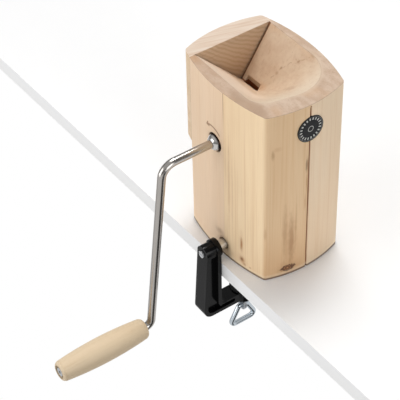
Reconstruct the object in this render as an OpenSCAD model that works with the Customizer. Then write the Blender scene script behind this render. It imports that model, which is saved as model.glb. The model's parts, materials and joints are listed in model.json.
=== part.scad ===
// Hand grain flaker: a solid wooden block with a hopper cut into its top, a pair of fluted
// rollers inside it, a bent steel crank on its front face and a table clamp on a short rod.
// The table top is the plane z = 0, the crank side faces -Y and the cover board faces -X.

/* [Block] */
// Half of the chord between the block's corners along X
block_half_x = 60; // [56:0.5:66]
// Half of the chord between the block's corners along Y
block_half_y = 42.5; // [41:0.5:50]
// How far the -X and +X faces bow out past their chord
bulge_x = 8; // [6:0.5:12]
// How far the -Y and +Y faces bow out past their chord
bulge_y = 9.5; // [8:0.5:13]
// Height of the block
block_h = 196; // [190:1:215]
// Radius of the block's upright edges
edge_r = 5; // [1.5:0.5:6]
// Width of the small groove along the glued joint on the +X face
joint_groove_w = 1.3; // [0.6:0.1:2]

/* [Cover board] */
// Thickness of the cover board at its two upright edges
board_t = 11.5; // [9:0.5:12]
// Height of the cover board
board_len = 98; // [90:1:106]
// Depth of the shallow relief that the block has behind the board
relief_depth = 1.3; // [0.6:0.1:2]
// Half width of that relief
relief_half_y = 41; // [36:0.5:41.5]
// Shank diameter of the cover screws
cover_screw_d = 4; // [3:0.5:5]
// Length of the cover screws
cover_screw_len = 30; // [24:1:36]

/* [Hopper] */
// Farthest reach of the hopper's mouth towards +X
mouth_x = 51.5; // [46:0.5:54]
// Reach of the mouth towards the crank side
mouth_front_y = 40; // [36:0.5:41]
// Reach of the mouth towards the back
mouth_back_y = 44; // [39:0.5:44.5]
// Corner radius of the mouth at its end near the crank side
mouth_front_r = 20; // [14:1:26]
// How far that corner's middle stands back from the mouth's farthest reach
mouth_front_set = 25; // [20:1:30]
// Corner radius of the mouth at its end near the back
mouth_back_r = 38.5; // [30:0.5:42]
// Depth of the valley below the rim, at the cover board
valley_depth = 50; // [48:0.5:53]
// Place of the valley along Y
valley_y = 10; // [8:0.5:12]
// Rise of the valley from the cover board to the end of the feed slot
valley_rise = 1.5; // [0.5:0.5:4]
// Distance from the cover board to the feed slot
feed_gap = 7; // [3:0.5:9]
// Length of the feed slot along X
feed_len = 19.2; // [16:0.2:22]
// Width of the feed slot along Y
feed_w = 7; // [6:0.5:9]

/* [Mill] */
// Place of the drive shaft along X
shaft_x = -3; // [-5:0.5:0]
// Depth of the drive shaft below the rim
shaft_drop = 65; // [63:0.5:67]
// Outer diameter of the two rollers
roller_d = 29.7; // [27:0.1:29.8]
// Length of the fluted part of the rollers
roller_len = 29.2; // [24:0.2:32]
// Gap between the rollers, which sets how thick the flakes are
roller_gap = 0.3; // [0.2:0.05:0.6]
// Angle of the idler roller below the level of the drive roller
idler_drop = 35; // [28:1:40]
// Number of flutes on each roller
flutes = 40; // [24:2:60]
// Depth of a flute
flute_depth = 0.7; // [0.4:0.1:1]
// Diameter of the journals
journal_d = 10; // [8:0.5:11]
// Diameter of the drive shaft in front of the drive roller
shaft_d = 12; // [10:0.5:13]
// Number of teeth on each gear
gear_teeth = 30; // [24:2:36]
// Width of the gears
gear_w = 8; // [6:0.5:9]
// Thickness of the two bearing plates
plate_t = 3; // [2:0.5:4]
// Diameter of the spacers between the plates
spacer_d = 6; // [5:0.5:7]
// Slope of the chute floor
chute_slope = 40; // [36:1:44]
// Radial clearance of a turning shaft in its bush
run_fit = 0.05; // [0.02:0.01:0.1]

/* [Crank] */
// Diameter of the crank rod
rod_d = 8; // [7:0.5:9]
// How far the upper bend lies in front of the block's chord plane
crank_reach = 66.3; // [60:0.5:75]
// Throw of the crank, from the shaft to the grip's axis
crank_throw = 189.7; // [170:1:200]
// How far the grip end of the arm lies in front of the upper bend
arm_lean = 21; // [10:0.5:30]
// Centre line radius of the upper bend
upper_bend_r = 14; // [10:0.5:18]
// Centre line radius of the lower bend
lower_bend_r = 8; // [7.5:0.5:10]
// Diameter of the crank hub
hub_d = 18; // [15:0.5:18.4]
// Diameter of the hole in the block's front face
hub_hole_d = 19.5; // [19:0.5:22]

/* [Grip] */
// Length of the grip
grip_len = 95.5; // [80:0.5:110]
// Diameter of the grip at its middle
grip_mid_d = 25.8; // [22:0.2:30]
// Diameter of the grip near its ends
grip_end_d = 20; // [18:0.2:22]
// Diameter of the recess in the grip's outer end
grip_recess_d = 14; // [12:0.5:15]

/* [Clamp] */
// Place of the clamp rod along X
clamp_x = 9; // [4:0.5:14]
// Height of the clamp rod above the table
clamp_z = 14; // [12:0.5:20]
// Diameter of the clamp rod
clamp_rod_d = 10; // [8:0.5:11]
// Depth of the clamp rod's hole in the block
clamp_hole_depth = 44; // [36:1:50]
// Width of the bracket's rear flange and collar
bracket_w = 19; // [18:0.5:22]
// Width of the bracket's column and arm
column_w = 16.2; // [14:0.2:18]
// Depth of the bracket's column at its top
column_t = 15; // [13:0.5:18]
// Opening of the clamp below the table top
throat = 56; // [50:1:64]
// Thickness of the bracket's lower arm
arm_t = 10.5; // [8:0.5:12]
// Web thickness of the bracket
web_t = 8; // [4:0.2:10]
// Flange thickness of the bracket
flange_t = 4; // [2:0.2:5]
// Distance from the column's inner face to the clamp screw
screw_reach = 31.5; // [28:0.5:40]
// Diameter of the clamp screw
clamp_screw_d = 8; // [7:0.5:9]
// Thickness of the table that the clamp is drawn on
table_t = 17; // [12:0.5:30]
// Diameter of the clamp pad
pad_d = 22; // [18:0.5:26]
// Drop of the bail's pivot below the arm
bail_drop = 16; // [13:0.5:20]
// Wire diameter of the bail
bail_wire_d = 5.2; // [4.2:0.1:5.6]
// Half width of the bail along its lower bar
bail_half_w = 16; // [13:0.5:19]
// Height of the bail from its pivot to its lower bar
bail_h = 22; // [18:0.5:28]

/* [Badge] */
// Diameter of the plain round badge
badge_d = 27.5; // [20:0.5:32]
// Depth of the badge's middle below the rim
badge_drop = 27; // [24:0.5:31]
// Thickness of the badge
badge_t = 1.2; // [0.9:0.1:2]

/* [Hidden] */
$fn = 96;

// Clearances and small sizes that many pieces share
fit = 0.02;
seat_gap = 0.3;
over = 1;
big = 300;

// Plan of the block: four arcs through the corners of its chord rectangle
front_r = (pow(block_half_x, 2) + pow(bulge_y, 2)) / (2 * bulge_y);
side_r = (pow(block_half_y, 2) + pow(bulge_x, 2)) / (2 * bulge_x);
front_shift = front_r - bulge_y - block_half_y;
side_shift = side_r - bulge_x - block_half_x;
function front_y(x) = sqrt(pow(front_r, 2) - pow(x, 2)) - front_shift;
function side_x(y) = sqrt(pow(side_r, 2) - pow(y, 2)) - side_shift;
board_x = -block_half_x + board_t;
board_foot_z = block_h - board_len;
badge_z = block_h - badge_drop;
shaft_z = block_h - shaft_drop;

// Screws, dowels and pins
dowel_d = 8;
dowel_len = 36;
cassette_screw_d = 3.5;
cassette_screw_len = 16;
spacer_screw_d = 4;
spacer_screw_grip = 8;
pin_d = 3;
grip_screw_d = 5;
bracket_screw_d = 4;
badge_seat = 0.9;

// Hopper and feed slot
mouth_z = block_h;
valley_z = block_h - valley_depth;
feed_x0 = board_x + feed_gap;
feed_x1 = feed_x0 + feed_len;
feed_y0 = valley_y - 2.8;
feed_bottom_z = shaft_z + 10;

// Mill: the axes, then the stack of pieces along Y
centre_dist = roller_d + roller_gap;
idler_x = shaft_x - centre_dist * cos(idler_drop);
idler_z = shaft_z - centre_dist * sin(idler_drop);
gear_module = centre_dist / gear_teeth;
gear_tip_r = centre_dist / 2 + gear_module;
pressure = 20;
gear_backlash = 0.12;
mill_mid_y = valley_y + 1;
flange_w = 1;
bush_wall = 2;
roller_y0 = mill_mid_y - roller_len / 2;
roller_y1 = mill_mid_y + roller_len / 2;
front_plate_y = roller_y0 - 0.4 - flange_w;
rear_plate_y = roller_y1 + 0.4 + flange_w;
gear_y1 = front_plate_y - plate_t - seat_gap;
gear_y0 = gear_y1 - gear_w;
chamber_y0 = gear_y0 - 3.5;
chamber_y1 = rear_plate_y + plate_t;
chamber_x1 = shaft_x + gear_tip_r + 9.5;
chamber_top_r = gear_tip_r + 1;
chamber_shoulder_z = shaft_z + gear_tip_r - 4;
chamber_side = gear_tip_r - 2;
chute_x1_z = shaft_z - centre_dist / 2;
function chute_z(x) = chute_x1_z - (chamber_x1 - x) * tan(chute_slope);
spacer_orbit = gear_tip_r + spacer_d / 2 + 1;
function around(x, z, a) = [x + spacer_orbit * cos(a), z + spacer_orbit * sin(a)];
spacer_at = [around(shaft_x, shaft_z, 15), around(shaft_x, shaft_z, -55),
             around(idler_x, idler_z, -115)];
cassette_screw_at = [[board_x + 8, feed_bottom_z - 7], [chamber_x1 - 5, shaft_z - 4],
                     [idler_x + 10, idler_z - 18]];
shaft_front_y = -front_y(shaft_x) + 10;
key_w = 4;

// Crank, in the upright plane through the shaft
hub_y0 = -front_y(shaft_x) - 4.7;
hub_y1 = shaft_front_y + 12;
shaft_pin_y = shaft_front_y + 6;
rod_pin_y = shaft_front_y - 7;
crank_y = -block_half_y - crank_reach;
grip_axis_z = shaft_z - crank_throw;
grip_corner_y = crank_y - arm_lean;
lower_turn = 90 - atan(arm_lean / crank_throw);
grip_y1 = grip_corner_y - lower_bend_r * tan(lower_turn / 2) - seat_gap;
grip_y0 = grip_y1 - grip_len;
recess_depth = 4.5;
grip_rod_y = grip_y0 + recess_depth - seat_gap;
washer_t = 1.2;

// Clamp
column_y1 = -block_half_y - 19;
column_top_y = column_y1 - column_t;
column_foot_y = column_top_y - 4.5;
arm_top_z = -throat;
arm_bottom_z = arm_top_z - arm_t;
screw_y = column_y1 + screw_reach;
boss_r = bracket_w / 2;
boss_rise = 1.5;
screw_boss_r = 13;
pad_t = 5;
pad_top_z = -table_t;
bail_pivot_z = arm_bottom_z - bail_drop;
tang_t = 3.6;
tip_d = 5;
tip_len = 3;
spigot_d = 8;
spigot_end_y = column_top_y + 3;
clamp_hole_end_y = -front_y(0) + clamp_hole_depth;
clamp_slide_in = 5.5;
rod_recess_depth = 4;
foot_round = 10;

// Corner point where two of the block's arcs, each moved in by r, cross in the +X +Y quarter
function corner_centre(r) =
    let (ra = front_r - r, rb = side_r - r,
         k = pow(ra, 2) - pow(rb, 2) - pow(front_shift, 2) + pow(side_shift, 2),
         m = side_shift / front_shift, c = k / (2 * front_shift) + front_shift,
         qa = 1 + pow(m, 2), qb = 2 * m * c, qc = pow(c, 2) - pow(ra, 2),
         x = (-qb + sqrt(pow(qb, 2) - 4 * qa * qc)) / (2 * qa))
    [x, m * x + c - front_shift];

// The block's plan with rounded upright edges, all of true arcs. Each rounding stands a
// little proud of the two bowed sides where it meets them, so it crosses them cleanly
module block_plan() {
    proud = 0.1;
    reach = 2;
    c = corner_centre(edge_r);
    to_front = unit(c + [0, front_shift]) * edge_r * reach;
    to_side = unit(c + [side_shift, 0]) * edge_r * reach;
    difference() {
        intersection() {
            translate([0, -front_shift]) circle(front_r, $fn = 360);
            translate([0, front_shift]) circle(front_r, $fn = 360);
            translate([-side_shift, 0]) circle(side_r, $fn = 360);
            translate([side_shift, 0]) circle(side_r, $fn = 360);
        }
        for (mx = [0, 1], my = [0, 1])
            mirror([mx, 0]) mirror([0, my]) difference() {
                polygon([c, c + to_front, c + to_front + to_side, c + to_side]);
                translate(c) circle(edge_r + proud);
            }
    }
}

// Corners of a bent rod or wire in a plane: p lists the corner points, and radii the centre
// line radius at each of them, which is 0 at a free end
function unit(v) = v / norm(v);
function left_of(v) = [-v[1], v[0]];
function run_into(p, i) = unit(p[i] - p[(i + len(p) - 1) % len(p)]);
function run_from(p, i) = unit(p[(i + 1) % len(p)] - p[i]);
function turn_at(p, i) =
    let (a = run_into(p, i), b = run_from(p, i)) atan2(left_of(a) * b, a * b);
function trim_at(p, radii, i) =
    radii[i] == 0 ? 0 : radii[i] * tan(abs(turn_at(p, i)) / 2);
function bend_centre(p, radii, i) =
    let (u = run_into(p, i))
    p[i] - u * trim_at(p, radii, i) + left_of(u) * sign(turn_at(p, i)) * radii[i];

// A round rod with two free ends, as true cylinders and tori in the module's X and Y. The
// bends are a hair thicker than the straight runs, which end a little inside them
module bent_rod(p, radii, d) {
    weld = 0.3;
    swell = 0.02;
    for (i = [0 : len(p) - 2]) {
        u = run_from(p, i);
        start = p[i] + u * max(trim_at(p, radii, i) - weld, 0);
        stop = p[i + 1] - u * max(trim_at(p, radii, i + 1) - weld, 0);
        translate([start[0], start[1], 0]) rotate([0, 90, atan2(u[1], u[0])])
            cylinder(d = d, h = norm(stop - start));
    }
    for (i = [1 : len(p) - 2]) {
        turn = turn_at(p, i);
        c = bend_centre(p, radii, i);
        out = -left_of(run_into(p, i)) * sign(turn);
        translate([c[0], c[1], 0]) rotate([0, 0, atan2(out[1], out[0]) + min(turn, 0)])
            rotate_extrude(angle = abs(turn)) translate([radii[i], 0]) circle(d / 2 + swell);
    }
}

// A closed loop of round wire in the module's X and Y, as one skin of rings
module wire_loop(p, radii, d, sides = 20, steps = 8) {
    rings = [for (i = [0 : len(p) - 1])
        let (u = run_into(p, i), turn = turn_at(p, i), c = bend_centre(p, radii, i),
             out = -left_of(u) * sign(turn), a0 = atan2(out[1], out[0]))
        for (k = [0 : steps])
            let (a = a0 + turn * k / steps, n = [cos(a), sin(a)])
            for (j = [0 : sides - 1])
                let (f = j * 360 / sides, r = radii[i] + d / 2 * cos(f))
                [c[0] + n[0] * r, c[1] + n[1] * r, d / 2 * sin(f)]];
    count = len(p) * (steps + 1);
    faces = [for (i = [0 : count - 1], j = [0 : sides - 1])
        let (i2 = (i + 1) % count, j2 = (j + 1) % sides)
        each [[i * sides + j, i * sides + j2, i2 * sides + j2],
              [i * sides + j, i2 * sides + j2, i2 * sides + j]]];
    polyhedron(rings, faces);
}

// Places a child that is drawn along +Z so that it runs along +Y from y
module along_y(x, y, z) {
    translate([x, y, z]) rotate([-90, 0, 0]) children();
}

// Places a plane drawn in X and Z so that it is extruded from y0 to y1
module xz_plate(y0, y1) {
    translate([0, y1, 0]) rotate([90, 0, 0]) linear_extrude(y1 - y0) children();
}

// Outline of the mouth: it runs out to the cover board and ends in two round corners, the rear
// one larger. The hopper takes the hull of it
module mouth_plan() {
    x0 = board_x - 2;
    translate([x0, -mouth_front_y]) square([1, mouth_front_y + mouth_back_y - 1]);
    translate([mouth_x - mouth_front_set, mouth_front_r - mouth_front_y])
        circle(mouth_front_r, $fn = 120);
    translate([mouth_x - mouth_back_r, mouth_back_y - mouth_back_r])
        circle(mouth_back_r, $fn = 160);
}

// The hopper: from the round-ended mouth down to a valley line that rises towards +X
module hopper() {
    valley_w = 0.6;
    hull() {
        translate([0, 0, mouth_z]) linear_extrude(over) mouth_plan();
        translate([board_x - 2, valley_y - valley_w / 2, valley_z]) cube([1, valley_w, 1]);
        translate([feed_x1 - 1, valley_y - valley_w / 2, valley_z + valley_rise])
            cube([1, valley_w, 1]);
    }
}

module feed_slot() {
    translate([feed_x0, feed_y0, feed_bottom_z - over])
        cube([feed_len, feed_w, valley_z + 12 - feed_bottom_z]);
}

// Outline of the roller chamber and the chute below it, in X and Z
module chamber_plan() {
    x0 = board_x - 2;
    polygon([[x0, chute_z(x0)], [chamber_x1, chute_x1_z], [chamber_x1, chamber_shoulder_z],
             [shaft_x - chamber_side, chamber_shoulder_z],
             [shaft_x - chamber_side, feed_bottom_z], [x0, feed_bottom_z]]);
    translate([shaft_x, shaft_z]) circle(chamber_top_r);
}

module cover_screw_places() {
    inset = 5;
    for (s = [-1, 1], z = [board_foot_z + 14, block_h - 26])
        translate([board_x, s * (relief_half_y - inset), z]) rotate([0, 90, 0]) children();
}

// The dowels stand in two corners at the foot and up the +X side, as shares of the block
module dowel_places() {
    for (p = [[-0.6, 0.13], [0.7, 0.13], [0.7, 0.45], [0.7, 0.76]])
        translate([p[0] * block_half_x, 0, p[1] * block_h]) rotate([90, 0, 0]) children();
}

// Everything that is cut out of the two halves of the block
module block_cuts() {
    hopper();
    feed_slot();
    xz_plate(chamber_y0, chamber_y1) chamber_plan();
    translate([board_x - 2, -relief_half_y, chute_z(board_x)])
        cube([2 + relief_depth, 2 * relief_half_y, big]);
    along_y(shaft_x, -front_y(0) - over, shaft_z)
        cylinder(d = hub_hole_d, h = chamber_y0 + front_y(0) + 2 * over);
    along_y(clamp_x, -front_y(0) - over, clamp_z)
        cylinder(d = clamp_rod_d + 2 * run_fit, h = clamp_hole_depth + over);
    along_y(clamp_x, -front_y(0) - over, clamp_z)
        cylinder(d = clamp_rod_d + 3, h = rod_recess_depth + over);
    dowel_places() translate([0, 0, -dowel_len / 2 - 0.5])
        cylinder(d = dowel_d + 2 * fit, h = dowel_len + 1);
    cover_screw_places() cylinder(d = cover_screw_d, h = cover_screw_len - board_t);
    for (p = cassette_screw_at)
        along_y(p[0], chamber_y1 - over, p[1])
            cylinder(d = cassette_screw_d, h = cassette_screw_len + over);
    translate([side_x(0) - badge_seat, 0, badge_z]) rotate([0, 90, 0])
        cylinder(d = badge_d + 0.2, h = 5);
    translate([side_x(0), 0, -over]) linear_extrude(block_h - 2)
        polygon([[-joint_groove_w, 0], [over, -joint_groove_w - over],
                 [over, joint_groove_w + over]]);
}

module half_block(side) {
    difference() {
        linear_extrude(block_h) block_plan();
        translate([board_x - big, -big / 2, -over]) cube([big, big, big]);
        translate([-big / 2, side > 0 ? -big : 0, -over]) cube([big, big, big]);
        block_cuts();
    }
}

module block_front() {
    color("#dfc49c") half_block(-1);
}

module block_back() {
    color("#d8bb90") half_block(1);
}

// The cover board closes the roller chamber; its outer face follows the block's own bow
module cover_board() {
    color("#e6d3b4") difference() {
        translate([0, 0, board_foot_z]) linear_extrude(block_h - board_foot_z) block_plan();
        translate([board_x, -big / 2, 0]) cube([big, big, big]);
        cover_screw_places() translate([0, 0, -big])
            cylinder(d = cover_screw_d + 0.4, h = 2 * big);
        cover_screw_places() translate([0, 0, -board_t - big])
            cylinder(d = 2 * cover_screw_d + 0.4, h = big + 2);
        cover_screw_places() translate([0, 0, -board_t + 2 - fit])
            cylinder(d1 = 2 * cover_screw_d + 0.4, d2 = cover_screw_d + 0.4,
                     h = cover_screw_d / 2, $fn = 48);
    }
}

module countersunk_screw(d, length) {
    cylinder(d = d, h = length);
    cylinder(d1 = 2 * d, d2 = d, h = d / 2, $fn = 48);
}

module cover_screws() {
    color("silver") cover_screw_places() translate([0, 0, -board_t + 2])
        countersunk_screw(cover_screw_d, cover_screw_len - 2);
}

module block_dowels() {
    color("#c9a877") dowel_places() translate([0, 0, -dowel_len / 2])
        cylinder(d = dowel_d, h = dowel_len);
}

// A plain round plate with a raised rim and a raised middle
module badge() {
    color("#23272b") translate([side_x(0) - badge_seat, 0, badge_z]) rotate([0, 90, 0])
        difference() {
            cylinder(d = badge_d, h = badge_t);
            translate([0, 0, badge_t - 0.25]) difference() {
                cylinder(d = badge_d - 1.6, h = over);
                translate([0, 0, -over]) cylinder(d = badge_d - 10, h = 3 * over);
            }
        }
}

// Outline of the two bearing plates, inside the chamber with a small gap all round
module plate_plan() {
    g = 1;
    left = board_x + relief_depth + g;
    top_z = chamber_shoulder_z - g;
    foot_z = idler_z - spacer_orbit - 4;
    polygon([[chamber_x1 - g, chute_x1_z + 2 * g], [chamber_x1 - g, top_z],
             [shaft_x + chamber_side, top_z], [shaft_x + chamber_side / 2, shaft_z + chamber_side],
             [shaft_x - chamber_side / 2, shaft_z + chamber_side],
             [shaft_x - chamber_side, feed_bottom_z - g], [left, feed_bottom_z - g],
             [left, idler_z - chamber_side], [left + 6, foot_z], [idler_x - 2, foot_z],
             [shaft_x + spacer_orbit / 2, shaft_z - spacer_orbit - 2]]);
}

module bearing_plate(y, shaft_hole_d) {
    difference() {
        xz_plate(y, y + plate_t) plate_plan();
        along_y(shaft_x, y - over, shaft_z)
            cylinder(d = shaft_hole_d, h = plate_t + 2 * over);
        along_y(idler_x, y - over, idler_z)
            cylinder(d = journal_d + 2 * bush_wall, h = plate_t + 2 * over);
        for (p = spacer_at)
            along_y(p[0], y - over, p[1]) cylinder(d = spacer_screw_d + 0.2, h = plate_t + 2 * over);
    }
}

module front_plate() {
    color("#9aa0a4") bearing_plate(front_plate_y - plate_t, shaft_d + 2 * bush_wall);
}

module rear_plate() {
    color("#9aa0a4") difference() {
        bearing_plate(rear_plate_y, journal_d + 2 * bush_wall);
        for (p = spacer_at)
            along_y(p[0], rear_plate_y + plate_t - 2.2, p[1])
                cylinder(d1 = spacer_screw_d + 0.2, d2 = 2 * spacer_screw_d + 0.4, h = 2.21,
                         $fn = 48);
        for (p = cassette_screw_at) {
            along_y(p[0], rear_plate_y - over, p[1])
                cylinder(d = cassette_screw_d + 0.2, h = plate_t + 2 * over);
            along_y(p[0], rear_plate_y - 0.01, p[1])
                cylinder(d1 = 2 * cassette_screw_d + 0.4, d2 = cassette_screw_d + 0.2,
                         h = cassette_screw_d / 2 + 0.2, $fn = 48);
        }
    }
}

// Round spacers with a tapped hole in each end
module plate_spacers() {
    length = rear_plate_y - front_plate_y;
    color("silver") for (p = spacer_at)
        along_y(p[0], front_plate_y, p[1]) difference() {
            cylinder(d = spacer_d, h = length);
            for (z = [-over, length - spacer_screw_grip])
                translate([0, 0, z]) cylinder(d = spacer_screw_d, h = spacer_screw_grip + over);
        }
}

module spacer_screws() {
    reach = spacer_screw_grip - 1 + plate_t;
    pan_head_h = spacer_screw_d * 0.6;
    color("#b8bcc0") for (p = spacer_at) {
        along_y(p[0], front_plate_y - plate_t, p[1]) cylinder(d = spacer_screw_d, h = reach);
        along_y(p[0], front_plate_y - plate_t - pan_head_h, p[1])
            cylinder(d = spacer_screw_d * 1.75, h = pan_head_h);
        translate([p[0], rear_plate_y + plate_t, p[1]]) rotate([90, 0, 0])
            countersunk_screw(spacer_screw_d, reach);
    }
}

module cassette_screws() {
    color("#b8bcc0") for (p = cassette_screw_at)
        along_y(p[0], rear_plate_y, p[1]) countersunk_screw(cassette_screw_d, cassette_screw_len);
}

// A flanged bush that sits in a plate, its flange towards the rollers
module bush(bore_d) {
    difference() {
        union() {
            cylinder(d = bore_d + 2 * bush_wall, h = plate_t);
            translate([0, 0, plate_t]) cylinder(d = bore_d + 2 * bush_wall + 4, h = flange_w);
        }
        translate([0, 0, -over]) cylinder(d = bore_d + 2 * run_fit, h = plate_t + flange_w + 2 * over);
    }
}

module bearing_bushes() {
    color("#c08a45") {
        along_y(shaft_x, front_plate_y - plate_t, shaft_z) bush(shaft_d);
        along_y(idler_x, front_plate_y - plate_t, idler_z) bush(journal_d);
        for (p = [[shaft_x, shaft_z], [idler_x, idler_z]])
            translate([p[0], rear_plate_y + plate_t, p[1]]) rotate([90, 0, 0]) bush(journal_d);
    }
}

// A roller drawn along +Z: straight vee flutes cut into a true cylinder
module fluted_roller() {
    linear_extrude(roller_len) difference() {
        circle(d = roller_d);
        for (i = [0 : flutes - 1])
            rotate(i * 360 / flutes) translate([roller_d / 2, 0])
                polygon([[-flute_depth, 0], [over, -flute_depth - over], [over, flute_depth + over]]);
    }
}

module drive_roller() {
    color("#7f8488") difference() {
        union() {
            along_y(shaft_x, roller_y0, shaft_z) fluted_roller();
            along_y(shaft_x, shaft_front_y, shaft_z)
                cylinder(d = shaft_d, h = roller_y0 - shaft_front_y);
            along_y(shaft_x, roller_y1, shaft_z)
                cylinder(d = journal_d, h = rear_plate_y + plate_t - seat_gap - roller_y1);
        }
        translate([shaft_x, gear_y0, shaft_z]) key_blank(shaft_d, 0, 0);
        translate([shaft_x, shaft_pin_y, shaft_z - hub_d])
            cylinder(d = pin_d + 2 * fit, h = 2 * hub_d);
    }
}

module idler_roller() {
    color("#7f8488") difference() {
        union() {
            along_y(idler_x, roller_y0, idler_z) fluted_roller();
            along_y(idler_x, gear_y0, idler_z) cylinder(d = journal_d, h = roller_y0 - gear_y0);
            along_y(idler_x, roller_y1, idler_z)
                cylinder(d = journal_d, h = rear_plate_y + plate_t - seat_gap - roller_y1);
        }
        translate([idler_x, gear_y0, idler_z]) key_blank(journal_d, 0, 0);
    }
}

// A parallel key on top of a shaft of diameter d, half in the shaft and half in the gear;
// play shrinks it to the key itself, and extra lengthens it to the slot through the gear
module key_blank(d, play, extra) {
    translate([play - key_w / 2, -extra, d / 2 - key_w / 2 + play])
        cube([key_w - 2 * play, gear_w + 2 * extra, key_w - 2 * play]);
}

// Involute gear drawn along +Z with a tooth centred on +X
function involute(rb, t) = rb * [cos(t) + t * PI / 180 * sin(t), sin(t) - t * PI / 180 * cos(t)];
function spun(p, a) = [p[0] * cos(a) - p[1] * sin(a), p[0] * sin(a) + p[1] * cos(a)];
function roll_to(rb, r) = sqrt(pow(r / rb, 2) - 1) * 180 / PI;
module gear(bore_d) {
    pitch_r = centre_dist / 2;
    base_r = pitch_r * cos(pressure);
    root_r = pitch_r - 1.25 * gear_module;
    at_pitch = roll_to(base_r, pitch_r);
    lead = at_pitch - pressure;
    half_tooth = 90 / gear_teeth - gear_backlash / pitch_r * 45 / PI;
    rolls = [for (k = [0 : 4]) roll_to(base_r, gear_tip_r) * k / 4];
    flank = [for (t = rolls) spun(involute(base_r, t), -half_tooth - lead)];
    tooth = concat([spun([root_r, 0], -half_tooth - lead)], flank,
                   [for (k = [4 : -1 : 0]) [flank[k][0], -flank[k][1]]],
                   [spun([root_r, 0], half_tooth + lead)]);
    linear_extrude(gear_w) difference() {
        polygon([for (i = [0 : gear_teeth - 1], p = tooth) spun(p, i * 360 / gear_teeth)]);
        circle(d = bore_d);
    }
}

// The keyed gears: a tooth of one and a gap of the other meet on the line of centres
module keyed_gear(x, z, bore_d, turn) {
    difference() {
        along_y(x, gear_y0, z) rotate(turn) gear(bore_d + 2 * fit);
        translate([x, gear_y0, z]) key_blank(bore_d, 0, over);
    }
}

module drive_gear() {
    color("#b9a15f") keyed_gear(shaft_x, shaft_z, shaft_d, 180 - idler_drop);
}

module idler_gear() {
    color("#b9a15f")
        keyed_gear(idler_x, idler_z, journal_d, -idler_drop + 180 / gear_teeth);
}

module drive_key() {
    color("#70757a") translate([shaft_x, gear_y0, shaft_z]) key_blank(shaft_d, fit, 0);
}

module idler_key() {
    color("#70757a") translate([idler_x, gear_y0, idler_z]) key_blank(journal_d, fit, 0);
}

// The hub is a turned sleeve with a domed nose that joins the rod to the drive shaft
module crank_hub() {
    nose = 0.83 * hub_d / 2;
    length = hub_y1 - hub_y0;
    color("#c7ccd0") difference() {
        along_y(shaft_x, hub_y0, shaft_z) rotate_extrude() difference() {
            union() {
                translate([0, nose]) square([hub_d / 2, length - nose]);
                intersection() {
                    translate([0, nose]) circle(hub_d / 2);
                    square([hub_d, 2 * nose]);
                }
            }
            translate([0, -over]) square([rod_d / 2 + fit, length + 2 * over]);
        }
        along_y(shaft_x, shaft_front_y - seat_gap, shaft_z)
            cylinder(d = shaft_d + 2 * fit, h = length);
        for (y = [shaft_pin_y, rod_pin_y])
            translate([shaft_x, y, shaft_z - hub_d]) cylinder(d = pin_d + 2 * fit, h = 2 * hub_d);
    }
}

module hub_pins() {
    color("#8a8f93") for (y = [shaft_pin_y, rod_pin_y])
        translate([shaft_x, y, shaft_z - hub_d / 2 + 0.5]) cylinder(d = pin_d, h = hub_d - 1);
}

// One bent rod: out of the hub, down the arm and into the grip
module crank_rod() {
    start_y = shaft_front_y - 2 * seat_gap;
    color("#a9aeb3") difference() {
        translate([shaft_x, 0, 0]) rotate([90, 0, 90])
            bent_rod([[start_y, shaft_z], [crank_y, shaft_z], [grip_corner_y, grip_axis_z],
                      [grip_rod_y, grip_axis_z]], [0, upper_bend_r, lower_bend_r, 0], rod_d);
        translate([shaft_x, rod_pin_y, shaft_z - hub_d])
            cylinder(d = pin_d + 2 * fit, h = 2 * hub_d);
        along_y(shaft_x, grip_rod_y - over, grip_axis_z) cylinder(d = grip_screw_d, h = 14 + over);
    }
}

// The turned grip: an arc swells its middle, and both ends are rounded
module grip() {
    swell = (grip_mid_d - grip_end_d) / 2;
    side_arc_r = (pow(grip_len / 2, 2) + pow(swell, 2)) / (2 * swell);
    end_r = 3;
    color("#e2cba2") along_y(shaft_x, grip_y0, grip_axis_z) rotate_extrude() difference() {
        intersection() {
            square([grip_mid_d, grip_len]);
            translate([grip_mid_d / 2 - side_arc_r, grip_len / 2]) circle(side_arc_r, $fn = 720);
            union() {
                square([grip_end_d / 2 - end_r, grip_len]);
                translate([0, end_r]) square([grip_mid_d, grip_len - 2 * end_r]);
                for (z = [end_r, grip_len - end_r])
                    translate([grip_end_d / 2 - end_r, z]) circle(end_r);
            }
        }
        translate([0, -over]) square([rod_d / 2 + 2 * run_fit, grip_len + 2 * over]);
        translate([0, -over]) square([grip_recess_d / 2, recess_depth + over]);
    }
}

module grip_washer() {
    color("#9ea3a8") along_y(shaft_x, grip_rod_y - washer_t, grip_axis_z) difference() {
        cylinder(d = grip_recess_d - 0.8, h = washer_t);
        translate([0, 0, -over]) cylinder(d = grip_screw_d + 0.2, h = washer_t + 2 * over);
    }
}

module grip_screw() {
    head_h = 2.4;
    color("#b5babf") difference() {
        union() {
            along_y(shaft_x, grip_rod_y - washer_t, grip_axis_z)
                cylinder(d = grip_screw_d, h = 12 + washer_t);
            along_y(shaft_x, grip_rod_y - washer_t - head_h, grip_axis_z)
                cylinder(d = 9, h = head_h);
        }
        along_y(shaft_x, grip_rod_y - washer_t - head_h - over, grip_axis_z)
            cylinder(d = 3.4, h = 1.6 + over, $fn = 6);
    }
}

// The rod slides in the block; the bracket's boss turns on its stepped front end
module clamp_rod() {
    shoulder_y = column_y1 + boss_rise;
    color("#c9c3b4") difference() {
        union() {
            along_y(clamp_x, shoulder_y, clamp_z)
                cylinder(d = clamp_rod_d, h = clamp_hole_end_y - clamp_slide_in - 1 - shoulder_y);
            along_y(clamp_x, spigot_end_y, clamp_z)
                cylinder(d = spigot_d, h = shoulder_y - spigot_end_y);
        }
        along_y(clamp_x, spigot_end_y - over, clamp_z)
            cylinder(d = bracket_screw_d, h = 12 + over);
    }
}

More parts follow.
